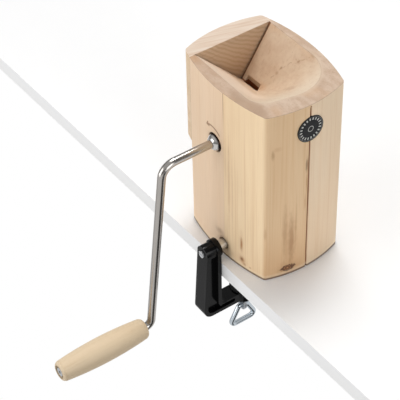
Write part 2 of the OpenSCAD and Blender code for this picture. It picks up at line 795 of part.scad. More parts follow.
// Outline of the bracket in Y and Z: the column with its rounded foot, and the lower arm
module bracket_plan() {
    hull() {
        polygon([[column_y1, clamp_z], [column_top_y, clamp_z],
                 [column_foot_y, arm_bottom_z + foot_round], [column_y1, arm_bottom_z],
                 [column_y1, arm_top_z]]);
        translate([column_foot_y + foot_round, arm_bottom_z + foot_round]) circle(foot_round);
    }
    translate([column_y1 - foot_round, arm_bottom_z])
        square([foot_round + screw_reach, arm_t]);
}

// The pocket in each side runs down the column and along the arm. It leaves a web between an
// outer and an inner flange
module bracket_pocket_plan() {
    round_r = 1.5;
    top_z = clamp_z - 3;
    floor_z = arm_bottom_z + flange_t;
    roof_z = arm_top_z - flange_t / 2;
    end_y = screw_y - screw_boss_r - 2;
    cut = foot_round - flange_t;
    offset(r = round_r) offset(delta = -round_r)
        polygon([[column_y1 - flange_t, top_z], [column_top_y + flange_t, top_z],
                 [column_foot_y + flange_t, floor_z + cut],
                 [column_foot_y + flange_t + 0.3 * cut, floor_z + 0.3 * cut],
                 [column_foot_y + flange_t + cut, floor_z], [end_y, floor_z], [end_y, roof_z],
                 [column_y1 - flange_t + cut, roof_z],
                 [column_y1 - flange_t + 0.3 * cut, roof_z + 0.3 * cut],
                 [column_y1 - flange_t, roof_z + cut]]);
}

// A narrow column and arm, a wider rear flange with a round collar at its top, and the bosses
module clamp_bracket() {
    pocket = (bracket_w - web_t) / 2 + over;
    fillet_r = 6;
    front_r = column_w / 2;
    color("#1d1f21") difference() {
        union() {
            translate([clamp_x - column_w / 2, 0, 0]) rotate([90, 0, 90])
                linear_extrude(column_w) bracket_plan();
            along_y(clamp_x, column_top_y, clamp_z) cylinder(r = front_r, h = column_t);
            translate([clamp_x - bracket_w / 2, 0, 0]) rotate([90, 0, 90])
                linear_extrude(bracket_w) {
                    translate([column_y1 - flange_t, arm_top_z - 2])
                        square([flange_t, clamp_z - arm_top_z + 2]);
                    difference() {
                        translate([column_y1, arm_top_z]) square(fillet_r);
                        translate([column_y1 + fillet_r, arm_top_z + fillet_r]) circle(fillet_r);
                    }
                }
            along_y(clamp_x, column_y1 - flange_t, clamp_z)
                cylinder(r = boss_r, h = flange_t + boss_rise);
            translate([clamp_x, screw_y, arm_bottom_z])
                cylinder(r = screw_boss_r, h = arm_t + boss_rise);
        }
        for (side = [0, 1])
            translate([clamp_x + (side > 0 ? web_t / 2 : -web_t / 2 - pocket), 0, 0])
                rotate([90, 0, 90]) linear_extrude(pocket) bracket_pocket_plan();
        along_y(clamp_x, spigot_end_y - seat_gap, clamp_z)
            cylinder(d = spigot_d + 2 * run_fit, h = column_t + 5);
        along_y(clamp_x, column_top_y - over, clamp_z)
            cylinder(d = bracket_screw_d + 0.4, h = column_t);
        translate([clamp_x, screw_y, arm_bottom_z - over])
            cylinder(d = clamp_screw_d + 2 * run_fit, h = arm_t + 4 * over);
    }
}

// The zinc screw that holds the bracket on the rod's end
module bracket_screw() {
    head_h = 1.4;
    slot_w = 1.2;
    color("#c4c9cd") difference() {
        union() {
            along_y(clamp_x, column_top_y - seat_gap, clamp_z)
                cylinder(d = bracket_screw_d, h = 13);
            along_y(clamp_x, column_top_y - seat_gap - head_h, clamp_z)
                cylinder(d = 7.4, h = head_h);
        }
        translate([clamp_x - 5, column_top_y - seat_gap - head_h - over, clamp_z - slot_w / 2])
            cube([10, 0.8 + over, slot_w]);
    }
}

// The clamp screw: a spindle with a turned tip for the pad and a flat tang for the bail
module clamp_screw() {
    tip_z = pad_top_z - pad_t;
    tang_r = bail_wire_d + 0.3;
    tang_z1 = bail_pivot_z + tang_r + 1;
    neck_w = clamp_screw_d - 1.2;
    color("#b0b5b9") difference() {
        union() {
            translate([clamp_x, screw_y, tang_z1])
                cylinder(d = clamp_screw_d, h = tip_z - tang_z1);
            translate([clamp_x, screw_y, tip_z]) cylinder(d = tip_d, h = tip_len);
            intersection() {
                translate([clamp_x - tang_r, screw_y - tang_t / 2, bail_pivot_z - tang_r])
                    cube([2 * tang_r, tang_t, tang_z1 + tang_r - bail_pivot_z]);
                along_y(clamp_x, screw_y - tang_t, bail_pivot_z) {
                    cylinder(r = tang_r, h = 2 * tang_t);
                    translate([-neck_w / 2, -tang_r - 1, 0])
                        cube([neck_w, tang_r + 1, 2 * tang_t]);
                }
            }
        }
        along_y(clamp_x, screw_y - tang_t, bail_pivot_z)
            cylinder(d = bail_wire_d + 0.4, h = 2 * tang_t);
    }
}

module clamp_pad() {
    color("#2b2d30") translate([clamp_x, screw_y, pad_top_z - pad_t]) difference() {
        cylinder(d = pad_d, h = pad_t);
        translate([0, 0, -over])
            cylinder(d = tip_d + 2 * run_fit, h = tip_len + seat_gap + over);
    }
}

// The wire bail: a closed triangle whose short top bar runs through the tang
module wire_bail() {
    half_top = 0.85 * bail_wire_d;
    lower_r = 0.85 * bail_wire_d;
    upper_r = 0.6 * bail_wire_d;
    corners = [[bail_half_w, -bail_h], [half_top, 0], [-half_top, 0], [-bail_half_w, -bail_h]];
    color("#aeb6bb") translate([clamp_x, screw_y, bail_pivot_z]) rotate([90, 0, 90])
        wire_loop(corners, [lower_r, upper_r, upper_r, lower_r], bail_wire_d);
}

block_front();
block_back();
cover_board();
cover_screws();
block_dowels();
badge();
front_plate();
rear_plate();
plate_spacers();
spacer_screws();
cassette_screws();
bearing_bushes();
drive_roller();
drive_gear();
drive_key();
idler_roller();
idler_gear();
idler_key();
crank_hub();
hub_pins();
crank_rod();
grip();
grip_washer();
grip_screw();
clamp_rod();
clamp_bracket();
bracket_screw();
clamp_screw();
clamp_pad();
wire_bail();
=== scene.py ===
"""Looks of the hand grain flaker: oiled wood, satin and polished steel, a black casting and zinc
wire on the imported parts. It stands on a pale table top and is seen from the photograph's angle.
All sizes are in metres unless a name says millimetres."""
import json
import math

import bmesh
import bpy
import numpy as np
from mathutils import Matrix, Vector


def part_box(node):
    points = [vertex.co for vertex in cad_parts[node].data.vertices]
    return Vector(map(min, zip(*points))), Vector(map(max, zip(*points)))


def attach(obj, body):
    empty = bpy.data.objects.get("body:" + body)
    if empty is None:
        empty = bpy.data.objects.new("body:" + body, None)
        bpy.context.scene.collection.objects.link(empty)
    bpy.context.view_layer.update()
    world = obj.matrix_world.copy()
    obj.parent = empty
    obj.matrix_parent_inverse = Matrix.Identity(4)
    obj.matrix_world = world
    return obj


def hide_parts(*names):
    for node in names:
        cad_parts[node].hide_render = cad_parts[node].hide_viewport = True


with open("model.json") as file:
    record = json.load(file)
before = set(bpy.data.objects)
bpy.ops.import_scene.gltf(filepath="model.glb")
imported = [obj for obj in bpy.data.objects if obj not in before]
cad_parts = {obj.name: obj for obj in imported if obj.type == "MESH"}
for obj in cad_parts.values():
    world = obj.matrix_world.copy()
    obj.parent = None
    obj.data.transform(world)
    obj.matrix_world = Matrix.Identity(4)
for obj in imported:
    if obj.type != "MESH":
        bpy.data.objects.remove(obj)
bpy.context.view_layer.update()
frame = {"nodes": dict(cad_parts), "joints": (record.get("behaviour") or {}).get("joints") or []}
NODES = frame["nodes"]
JOINTS = {joint["name"]: joint for joint in frame["joints"]}
MM = 0.001


def joint_place(name):
    """A joint's point in the row frame."""
    return Vector(JOINTS[name]["pos_m"])


SHAFT = joint_place("crank_turn")
CLAMP_ROD = joint_place("bracket_swing")
BAIL_PIVOT = joint_place("bail_swing")
BLOCK_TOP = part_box("block_front")[1].z
BOARD_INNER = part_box("cover_board")[1].x


def tone(red, green, blue):
    """A screen colour of 0 to 255 a channel as the linear colour that a shader takes."""
    def linear(value):
        share = value / 255
        return share / 12.92 if share < 0.04045 else ((share + 0.055) / 1.055) ** 2.4
    return (linear(red), linear(green), linear(blue), 1.0)


class Value:
    """A number that varies over a surface. Arithmetic on it adds Math nodes to its finish."""

    def __init__(self, finish, socket):
        self.finish = finish
        self.socket = socket

    def math(self, operation, first, second=None):
        inputs = {0: first} if second is None else {0: first, 1: second}
        return self.finish.node("ShaderNodeMath", {"operation": operation}, inputs)

    def __add__(self, other):
        return self.math("ADD", self, other)

    def __sub__(self, other):
        return self.math("SUBTRACT", self, other)

    def __rsub__(self, other):
        return self.math("SUBTRACT", other, self)

    def __mul__(self, other):
        return self.math("MULTIPLY", self, other)

    def __truediv__(self, other):
        return self.math("DIVIDE", self, other)

    def __pow__(self, other):
        return self.math("POWER", self, other)

    def __abs__(self):
        return self.math("ABSOLUTE", self)

    __radd__ = __add__
    __rmul__ = __mul__

    def sine(self):
        return self.math("SINE", self)

    def root(self):
        return self.math("SQRT", self)

    def larger(self, other):
        return self.math("MAXIMUM", self, other)

    def smaller(self, other):
        return self.math("MINIMUM", self, other)

    def rise(self, low, high):
        """0 below low, 1 above high and a smooth step between; low may be the larger one."""
        ends = {"Value": self, "From Min": low, "From Max": high}
        return self.finish.node("ShaderNodeMapRange", {"interpolation_type": "SMOOTHSTEP"}, ends)


class Field:
    """A node tree that is built from expressions."""

    def __init__(self, tree):
        self.tree = tree

    def node(self, kind, settings, inputs, output=0):
        made = self.tree.nodes.new(kind)
        for key, value in settings.items():
            setattr(made, key, value)
        for key, value in inputs.items():
            self.feed(made.inputs[key], value)
        return Value(self, None if output is None else made.outputs[output])

    def feed(self, socket, value):
        if isinstance(value, Value):
            self.tree.links.new(value.socket, socket)
        else:
            socket.default_value = value

    def split(self, place):
        """The X, Y and Z of a place or a direction."""
        outputs = self.node("ShaderNodeSeparateXYZ", {}, {"Vector": place}).socket.node.outputs
        return [Value(self, outputs[axis]) for axis in "XYZ"]


class Finish(Field):
    """A material in the making: one Principled shader fed by expressions on the surface."""

    def __init__(self, name):
        self.material = bpy.data.materials.new(name)
        self.material.use_nodes = True
        super().__init__(self.material.node_tree)
        self.shader = self.tree.nodes["Principled BSDF"]
        self.place = self.node("ShaderNodeTexCoord", {}, {}, "Object")
        self.x, self.y, self.z = self.split(self.place)

    def vector(self, operation, first, second):
        return self.node("ShaderNodeVectorMath", {"operation": operation}, {0: first, 1: second})

    def noise(self, stretch, detail=2.0, roughness=0.5, shift=(0, 0, 0), place=None):
        """Noise from 0 to 1 with so many cells a metre along X, Y and Z."""
        moved = self.vector("ADD", place or self.place, shift)
        scaled = self.vector("MULTIPLY", moved, stretch)
        inputs = {"Vector": scaled, "Scale": 1.0, "Detail": detail, "Roughness": roughness}
        return self.node("ShaderNodeTexNoise", {}, inputs)

    def mix(self, share, first, second):
        """A colour that goes from the first to the second as share goes from 0 to 1."""
        settings = {"data_type": "RGBA"}
        return self.node("ShaderNodeMix", settings, {0: share, 6: first, 7: second}, 2)

    def blot(self, centre, radii, ragged=0.35, core=0.35):
        """1 in the core of an ellipsoid and 0 outside it, with a ragged edge."""
        away = self.vector("SUBTRACT", self.place, centre)
        scaled = self.vector("DIVIDE", away, radii)
        distance = self.node("ShaderNodeVectorMath", {"operation": "LENGTH"}, {0: scaled}, 1)
        rough = self.noise((420, 420, 160), detail=3.0)
        return (distance + (rough - 0.5) * (2 * ragged)).rise(1.0, core)

    def stroke(self, across, up, start, end, half_width):
        """1 on the straight stroke between two points of a plane, by the distance to it."""
        run = (end[0] - start[0], end[1] - start[1])
        square = run[0] ** 2 + run[1] ** 2
        dx = across - start[0]
        dy = up - start[1]
        share = ((dx * run[0] + dy * run[1]) / square).larger(0.0).smaller(1.0)
        distance = ((dx - share * run[0]) ** 2 + (dy - share * run[1]) ** 2).root()
        return distance.rise(half_width * 1.5, half_width * 0.5)

    def bump(self, height, depth):
        """Relief of so many metres where height goes from 0 to 1."""
        inputs = {"Strength": 1.0, "Distance": depth, "Height": height}
        return self.node("ShaderNodeBump", {}, inputs, "Normal")

    def surface(self, colour, roughness, normal=None, metallic=0.0, coat=0.0, **fixed):
        inputs = {"Base Color": colour, "Roughness": roughness, "Metallic": metallic,
                  "Coat Weight": coat, **fixed}
        if normal is not None:
            inputs["Normal"] = normal
        for name, value in inputs.items():
            self.feed(self.shader.inputs[name], value)
        return self.material


def grain(finish, along, fine=1.0):
    """Fibres, thin sporadic streaks and slow clouds that all run along one axis."""
    def lines(across, lengthwise, detail, shift=0.0):
        cells = [lengthwise if name == along else across for name in "xyz"]
        return finish.noise(cells, detail=detail, shift=(shift, shift, shift))
    fibre = lines(1500 * fine, 22, 3.0)
    streak = lines(430 * fine, 5, 3.0, 0.37)
    band = lines(85 * fine, 2.5, 2.0, 0.71)
    cloud = lines(24, 7, 1.0, 0.13)
    return fibre, streak, band, cloud


def block_finish(name, half):
    """Oiled wood of upright staves. The rim is end grain, and the hopper's walls are cut on the
    slant, so both are darker and pinker than the sides."""
    wood = Finish(name)
    fibre, streak, band, cloud = grain(wood, "z")
    if half == "front":
        joint = wood.x.rise(9.6 * MM, 10.4 * MM)
        side = wood.x.rise(56 * MM, 61 * MM)
        body = wood.mix(joint, tone(246, 217, 186), tone(253, 225, 185))
        body = wood.mix(side, body, tone(230, 198, 158))
        body = wood.mix(side * wood.z.rise(0.075, 0.005) * 0.5, body, tone(212, 166, 118))
        fine_share = joint * 0.13 + 0.10
    else:
        body = tone(236, 212, 182)
        fine_share = 0.18
    body = wood.mix(cloud.rise(0.3, 0.7) * 0.22, body, tone(228, 191, 149))
    body = wood.mix(band.rise(0.52, 0.70) * 0.19, body, tone(216, 172, 124))
    body = wood.mix(streak.rise(0.52, 0.72) * fine_share, body, tone(202, 150, 98))
    body = wood.mix(fibre.rise(0.50, 0.78) * 0.18, body, tone(190, 142, 94))
    if half == "front":
        body = front_marks(wood, body)

    pores = wood.noise((620, 620, 60), detail=2.0)
    mottle = wood.noise((70, 130, 60), detail=4.0, roughness=0.62)
    pink = wood.mix(mottle.rise(0.35, 0.68) * 0.7, tone(220, 196, 169), tone(207, 177, 149))
    pink = wood.mix(wood.x.rise(0.012, 0.044) * 0.7, pink, tone(227, 210, 188))
    if half == "back":
        pink = wall_marks(wood, pink)
    pink = wood.mix(streak.rise(0.50, 0.75) * 0.22, pink, tone(182, 144, 110))
    stain = wood.blot((0.026, 0.014, 0.174), (0.018, 0.006, 0.008), 0.5)
    pink = wood.mix(stain * 0.35, pink, tone(160, 118, 84))
    # Painted light: the hopper's front wall on the crank side is made paler, as if lit.
    lit_front_wall = wood.y.rise(-0.003, -0.014) * wood.x.rise(0.036, 0.0)
    pink = wood.mix(lit_front_wall * 0.9, pink, tone(237, 215, 193))
    rear_end = ((wood.x - 13 * MM) ** 2 + (wood.y - 5.5 * MM) ** 2).root() - 38.5 * MM
    front_end = ((wood.x - 26.5 * MM) ** 2 + (wood.y + 20 * MM) ** 2).root() - 20 * MM
    past_ends = rear_end.smaller(front_end)
    straight = wood.x.rise(13 * MM, 12 * MM).larger(wood.x.rise(26 * MM, 25 * MM) * wood.y.rise(0.0, -0.001))
    inside = past_ends.rise(3.2 * MM, 2.6 * MM).larger(straight)
    inside = inside * abs(wood.y - 2 * MM).rise(0.0436, 0.0430) * wood.z.rise(0.139, 0.1395)
    body = wood.mix(inside, body, pink)

    end_grain = wood.mix(mottle.rise(0.32, 0.66), tone(208, 184, 162), tone(192, 164, 140))
    end_grain = wood.mix(pores.rise(0.52, 0.74) * 0.30, end_grain, tone(166, 137, 113))
    warm = wood.noise((26, 40, 20), detail=1.0, shift=(0.5, 0.2, 0))
    end_grain = wood.mix(warm.rise(0.50, 0.68) * 0.50, end_grain, tone(204, 168, 134))
    end_grain = wood.mix(wood.y.rise(-0.020, -0.046) * 0.25, end_grain, tone(176, 142, 114))
    from_mouth = past_ends.rise(4.5 * MM, 0.0) * wood.x.rise(0.0, 0.020)
    end_grain = wood.mix(from_mouth * 0.55, end_grain, tone(214, 192, 168))
    tip = wood.blot((-0.048, -0.044, 0.196), (0.012, 0.006, 0.006), 0.3)
    end_grain = wood.mix(tip * 0.5, end_grain, tone(190, 148, 110))
    nose = wood.blot((0.036, -0.044, 0.196), (0.034, 0.013, 0.010), 0.2)
    end_grain = wood.mix(nose * 0.55, end_grain, tone(168, 140, 116))
    rim = wood.z.rise(BLOCK_TOP - 0.8 * MM, BLOCK_TOP - 0.3 * MM)
    body = wood.mix(rim, body, end_grain)

    # Painted shade: the walls of the feed slot under the hopper are painted dark brown.
    slot = wood.z.rise(0.1475, 0.1462) * wood.z.rise(0.124, 0.128)
    slot = slot * abs(wood.y - 10 * MM).rise(8 * MM, 7 * MM)
    slot = slot * abs(wood.x + 32 * MM).rise(16 * MM, 14 * MM)
    body = wood.mix(slot, body, tone(148, 86, 46))

    waver = (wood.noise((3, 3, 16), detail=2.0) - 0.5) * (1.2 * MM)
    seam = abs(wood.y + waver).rise(0.95 * MM, 0.45 * MM)
    seam = seam * wood.x.rise(0.060, 0.062) * wood.z.rise(BLOCK_TOP - 1 * MM, BLOCK_TOP - 2 * MM)
    body = wood.mix(seam * 0.9, body, tone(138, 84, 42))
    # Painted highlight: a pale band from about 3.4 to 7 mm above the foot, as if an eased edge caught the
    # light.
    body = wood.mix(wood.z.rise(7.0 * MM, 3.4 * MM) * 0.30, body, tone(253, 236, 206))
    # Painted shadow: a dark band below about 2.8 mm at the foot, the contact shadow where the block stands
    # on the table.
    body = wood.mix(wood.z.rise(2.8 * MM, 1.5 * MM) * 0.82, body, tone(96, 72, 62))
    # Painted shade: a dark brown line on the hopper walls along the gap behind the cover board.
    wide = wood.y.rise(0.0, 0.012) * (0.9 * MM) + (BOARD_INNER + 1.6 * MM)
    gap = (wood.x - wide).rise(0.3 * MM, -0.3 * MM) * wood.z.rise(0.140, 0.141)
    gap = gap * abs(wood.y - 2 * MM).rise(0.0436, 0.0430) * wood.z.rise(BLOCK_TOP, 0.1955)
    body = wood.mix(gap * 0.9, body, tone(112, 66, 34))
    # Painted shade: the walls of the crank hole and the clamp rod hole are painted dark brown.
    for axis, reach, depth in ((SHAFT, 9.9 * MM, -0.049), (CLAMP_ROD, 6.7 * MM, -0.0475)):
        around = ((wood.x - axis.x) ** 2 + (wood.z - axis.z) ** 2).root()
        hole = around.rise(reach + 0.4 * MM, reach) * wood.y.rise(depth - 2.2 * MM, depth - 1 * MM)
        body = wood.mix(hole * wood.y.rise(0.0, -0.002) * 0.85, body, tone(52, 32, 20))
    rough = 0.50 + streak * 0.18
    relief = wood.bump(fibre * 0.4 + streak * 0.3, 0.05 * MM)
    return wood.surface(body, rough, relief, **{"Specular IOR Level": 0.35})


def wall_marks(wood, body):
    """Broken brown growth lines on the hopper's back wall, a warmer zone above them and warm
    spots near the slot and the rim."""
    orange, brown = tone(206, 148, 96), tone(150, 104, 70)
    above = (wood.y - wood.x * 0.70 - 33 * MM).rise(-1.0 * MM, 1.5 * MM)
    body = wood.mix(above * 0.08, body, tone(214, 182, 154))
    warm = [
        ((-43.5, 43.0, 194.0), (8.0, 6.0, 12.0), orange, 0.26),
        ((-34.0, 42.0, 194.0), (10.0, 4.0, 5.0), orange, 0.12),
        ((4.0, 43.0, 195.0), (22.0, 4.0, 6.0), orange, 0.12),
        ((15.0, 43.5, 195.5), (4.0, 3.0, 2.5), brown, 0.34),
        ((-18.0, 13.0, 152.0), (8.0, 5.0, 6.0), orange, 0.24),
        ((-12.3, 24.3, 167.4), (2.2, 2.2, 2.4), brown, 0.36),
        ((-11.0, 28.0, 172.5), (1.8, 2.0, 2.5), brown, 0.34),
        ((3.6, 36.4, 185.0), (2.2, 2.0, 2.5), brown, 0.32),
    ]
    for centre, radii, colour, strength in warm:
        spot = wood.blot([v * MM for v in centre], [1.2 * v * MM for v in radii], 0.3, 0.1)
        body = wood.mix(spot * strength, body, colour)
    lines = [
        [(-22.2, 13.9), (-12.3, 24.3), (-11.0, 28.0), (-3.6, 32.9), (4.0, 36.5), (12.4, 41.7)],
        [(-20.4, 42.0), (-8.2, 38.7), (3.4, 35.7)],
    ]
    waver = (wood.noise((150, 150, 90), detail=3.0) - 0.5) * (2.4 * MM)
    broken = wood.noise((190, 190, 190), detail=2.0, shift=(0.3, 0.1, 0.2)).rise(0.42, 0.56)
    for line in lines:
        for start, end in zip(line, line[1:]):
            ends = [[v * MM for v in point] for point in (start, end)]
            trace = wood.stroke(wood.x + waver, wood.y - waver, *ends, 0.45 * MM)
            body = wood.mix(trace * broken * 0.30, body, brown)
    return body


def front_marks(wood, body):
    """Knots, streaks, a stave joint and the turning arrow on the crank half of the block."""
    brown, red, grey = tone(104, 64, 34), tone(172, 110, 56), tone(158, 110, 68)
    marks = [
        ((67.2, -21.5, 9.5), (4.0, 14.0, 10.0), red, 0.26),
        ((33.3, -49.1, 31.0), (3.4, 3.0, 16.0), red, 0.22),
        ((33.3, -49.1, 30.0), (1.6, 3.0, 9.0), red, 0.80),
        ((34.4, -49.0, 10.5), (7.0, 3.0, 7.0), red, 0.20),
        ((34.0, -49.0, 10.5), (3.4, 3.0, 4.0), red, 0.70),
        ((33.6, -49.0, 10.9), (1.6, 3.0, 2.0), brown, 0.62),
        ((36.8, -48.6, 6.0), (2.4, 3.0, 2.2), red, 0.55),
        ((43.8, -47.0, 5.9), (1.6, 3.0, 1.8), red, 0.45),
        ((65.5, -24.0, 60.0), (3.0, 2.6, 34.0), grey, 0.32),
        ((66.8, -17.0, 44.0), (3.0, 3.4, 32.0), grey, 0.48),
        ((66.8, -19.5, 42.0), (3.0, 8.5, 34.0), grey, 0.22),
        ((67.0, -12.5, 62.0), (3.0, 1.2, 30.0), grey, 0.30),
        ((67.9, -2.6, 128.0), (3.0, 1.7, 9.0), brown, 0.62),
        ((68.0, -2.2, 108.0), (3.0, 1.0, 14.0), red, 0.45),
        ((67.9, -3.4, 84.0), (3.0, 1.2, 10.0), red, 0.34),
        ((62.6, -36.2, 152.0), (3.0, 1.8, 6.0), grey, 0.45),
        ((63.6, -32.0, 158.0), (3.0, 4.5, 3.0), red, 0.18),
        ((60.8, -42.0, 58.0), (3.0, 1.5, 8.0), grey, 0.30),
        ((17.0, -51.2, 98.0), (1.6, 3.0, 62.0), red, 0.26),
        ((21.5, -50.8, 78.0), (1.2, 3.0, 48.0), red, 0.20),
        ((12.5, -51.4, 120.0), (1.0, 3.0, 44.0), red, 0.16),
        ((3.0, -51.9, 25.5), (7.0, 3.0, 4.5), brown, 0.30),
        ((9.0, -51.9, 14.0), (8.5, 3.0, 8.5), brown, 0.30),
    ]
    for centre, radii, colour, strength in marks:
        spot = wood.blot([v * MM for v in centre], [1.35 * v * MM for v in radii], 0.28, 0.1)
        body = wood.mix(spot * strength, body, colour)
    body = knot(wood, body, (66.2, -20.3, 8.8), (6.0, 7.4, 3.9))
    joint = abs(wood.x - 10 * MM).rise(0.55 * MM, 0.20 * MM) * wood.y.rise(-0.044, -0.046)
    fading = wood.z.rise(0.150, 0.182) * 0.70 + 0.14
    body = wood.mix(joint * fading, body, tone(150, 96, 50))
    return wood.mix(turning_arrow(wood) * 0.66, body, tone(128, 76, 36))


def knot(wood, body, centre, radii):
    """A small knot: a dark uneven ring, a warm middle and a dark crack across it."""
    away = wood.vector("SUBTRACT", wood.place, [v * MM for v in centre])
    scaled = wood.vector("DIVIDE", away, [v * MM for v in radii])
    distance = wood.node("ShaderNodeVectorMath", {"operation": "LENGTH"}, {0: scaled}, 1)
    distance = distance + (wood.noise((260, 260, 300), detail=3.0) - 0.5) * 1.25
    heart = distance.rise(1.1, 0.7)
    ring = abs(distance - 0.78).rise(0.42, 0.06)
    crack = abs(distance - 0.22).rise(0.26, 0.06)
    body = wood.mix(heart * 0.80, body, tone(166, 110, 66))
    return wood.mix(ring.larger(crack) * 0.85, body, tone(84, 52, 36))


def turning_arrow(wood):
    """A thin burnt arc above the hub with a small head, which shows the way to turn."""
    centre_x = SHAFT.x - 3.4 * MM
    radius, half_width = 16.0 * MM, 0.9 * MM
    start, end = math.radians(48), math.radians(125)
    across = wood.x - centre_x
    up = wood.z - SHAFT.z
    off = abs((across ** 2 + up ** 2).root() - radius)
    left = centre_x + radius * math.cos(end)
    right = centre_x + radius * math.cos(start)
    arc = off.rise(half_width * 1.5, half_width * 0.5) * up.rise(0.0, 2 * MM)
    arc = arc * wood.x.rise(left - 0.3 * MM, left) * wood.x.rise(right + 0.3 * MM, right)
    tip = (left, SHAFT.z + radius * math.sin(end))
    heading = end - math.pi / 2
    for spread in (-0.5, 0.5):
        angle = heading + spread
        back = (tip[0] + 3.6 * MM * math.cos(angle), tip[1] + 3.6 * MM * math.sin(angle))
        arc = arc.larger(wood.stroke(wood.x, wood.z, tip, back, half_width))
    return arc * wood.y.rise(-0.044, -0.046)


def board_finish():
    """The cover board: level grain, pale on its top edge. Inside the hopper its rings are cut
    into bows: a ring there is a line of equal height plus 0.715 of the depth less 4.25 times
    its square."""
    wood = Finish("cover_board_wood")
    fibre, streak, band, cloud = grain(wood, "y")
    body = wood.mix(cloud.rise(0.3, 0.7) * 0.4, tone(236, 210, 178), tone(214, 184, 146))
    body = wood.mix(band.rise(0.50, 0.70) * 0.30, body, tone(206, 166, 120))
    body = wood.mix(streak.rise(0.50, 0.72) * 0.25, body, tone(190, 148, 102))

    drift = (wood.noise((20, 80, 60), detail=3.0) - 0.5) * (7 * MM)
    arch = wood.z + wood.y * 0.715 - wood.y ** 2 * 4.25 + drift + wood.x * 0.6
    ring = ((arch * (2 * math.pi / (5.2 * MM))).sine() * 0.5 + 0.5) ** 1.5
    # The inner face: rings on raw wood, in tones kept dark partly as painted shade inside the hopper.
    raw_wood_and_shade = wood.mix(ring * 0.50, tone(208, 182, 154), tone(178, 147, 116))
    raw_wood_and_shade = wood.mix(fibre.rise(0.50, 0.75) * 0.22, raw_wood_and_shade, tone(162, 126, 94))
    # Painted shade: the inner face darkens towards the bottom of the hopper.
    raw_wood_and_shade = wood.mix(wood.z.rise(0.196, 0.150) * 0.20, raw_wood_and_shade, tone(164, 128, 96))
    body = wood.mix(wood.x.rise(BOARD_INNER - 0.7 * MM, BOARD_INNER - 0.2 * MM), body, raw_wood_and_shade)

    parts = {"X": wood.x - wood.y * 0.324, "Y": wood.y, "Z": wood.z}
    tilted = wood.node("ShaderNodeCombineXYZ", {}, parts)
    line = wood.noise((480, 16, 20), detail=3.0, place=tilted)
    top = wood.mix(line.rise(0.42, 0.66) * 0.65, tone(224, 206, 188), tone(206, 174, 148))
    top = wood.mix(band.rise(0.45, 0.65) * 0.25, top, tone(206, 180, 156))
    body = wood.mix(wood.z.rise(BLOCK_TOP - 0.8 * MM, BLOCK_TOP - 0.3 * MM), body, top)
    rough = 0.52 + streak * 0.18
    relief = wood.bump(fibre * 0.4 + streak * 0.3, 0.05 * MM)
    return wood.surface(body, rough, relief, **{"Specular IOR Level": 0.35})


def grip_finish():
    """Turned pale wood with fine fibres along the grip and faint lathe lines round it."""
    wood = Finish("grip_wood_oiled")
    fibre, streak, band, cloud = grain(wood, "y", 1.4)
    body = wood.mix(cloud.rise(0.3, 0.7) * 0.5, tone(226, 205, 174), tone(216, 193, 158))
    body = wood.mix(band.rise(0.50, 0.72) * 0.22, body, tone(204, 174, 134))
    body = wood.mix(streak.rise(0.52, 0.75) * 0.20, body, tone(196, 164, 124))
    body = wood.mix(fibre.rise(0.50, 0.78) * 0.14, body, tone(176, 142, 102))
    lathe = (wood.y * (2 * math.pi / (0.9 * MM))).sine() * 0.5 + 0.5
    relief = fibre * 0.3 + lathe * 0.12
    return wood.surface(body, 0.5 + streak * 0.12, wood.bump(relief, 0.03 * MM))


def plain_wood_finish():
    """Dowel wood."""
    wood = Finish("dowel_wood_plain")
    fibre, streak, band, cloud = grain(wood, "y", 1.6)
    body = wood.mix(streak.rise(0.45, 0.7) * 0.5, tone(214, 184, 142), tone(186, 148, 104))
    return wood.surface(body, 0.6 + cloud * 0.1, wood.bump(fibre, 0.04 * MM))


def steel_finish(name, colour, roughness, spread=0.1, cells=(300, 300, 300), dull=0.85):
    """Bare metal: its gloss and brightness wander a little in fine cells."""
    metal = Finish(name)
    wear = metal.noise(cells, detail=3.0)
    cloud = metal.noise((60, 60, 60), detail=1.0)
    darker = tuple(channel * dull for channel in colour[:3]) + (1.0,)
    body = metal.mix(cloud, darker, colour)
    rough = roughness + (wear - 0.5) * (2 * spread)
    return metal.surface(body, rough, metal.bump(wear, 0.01 * MM), metallic=1.0)


def hub_finish():
    """Polished steel with painted shade: it goes dark brown where the dome sinks into its hole."""
    metal = Finish("hub_polished")
    wear = metal.noise((260, 260, 260), detail=3.0)
    # painted shade on the part of the dome that lies inside the hole
    sunk_shade = metal.y.rise(-0.0541, -0.0526)
    body = metal.mix(sunk_shade, tone(216, 213, 210), tone(48, 33, 25))
    rough = wear * 0.10 + 0.14
    return metal.surface(body, rough, metal.bump(wear, 0.012 * MM), metallic=1.0)


def casting_finish(name):
    """Black paint on a casting: half gloss, with a faint orange-peel skin."""
    paint = Finish(name)
    peel = paint.noise((700, 700, 700), detail=2.0)
    cloud = paint.noise((90, 90, 90), detail=2.0)
    body = paint.mix(cloud, tone(4, 4, 5), tone(13, 13, 14))
    relief = paint.bump(peel, 0.03 * MM)
    return paint.surface(body, 0.13 + cloud * 0.08, relief, **{"Specular IOR Level": 0.16})


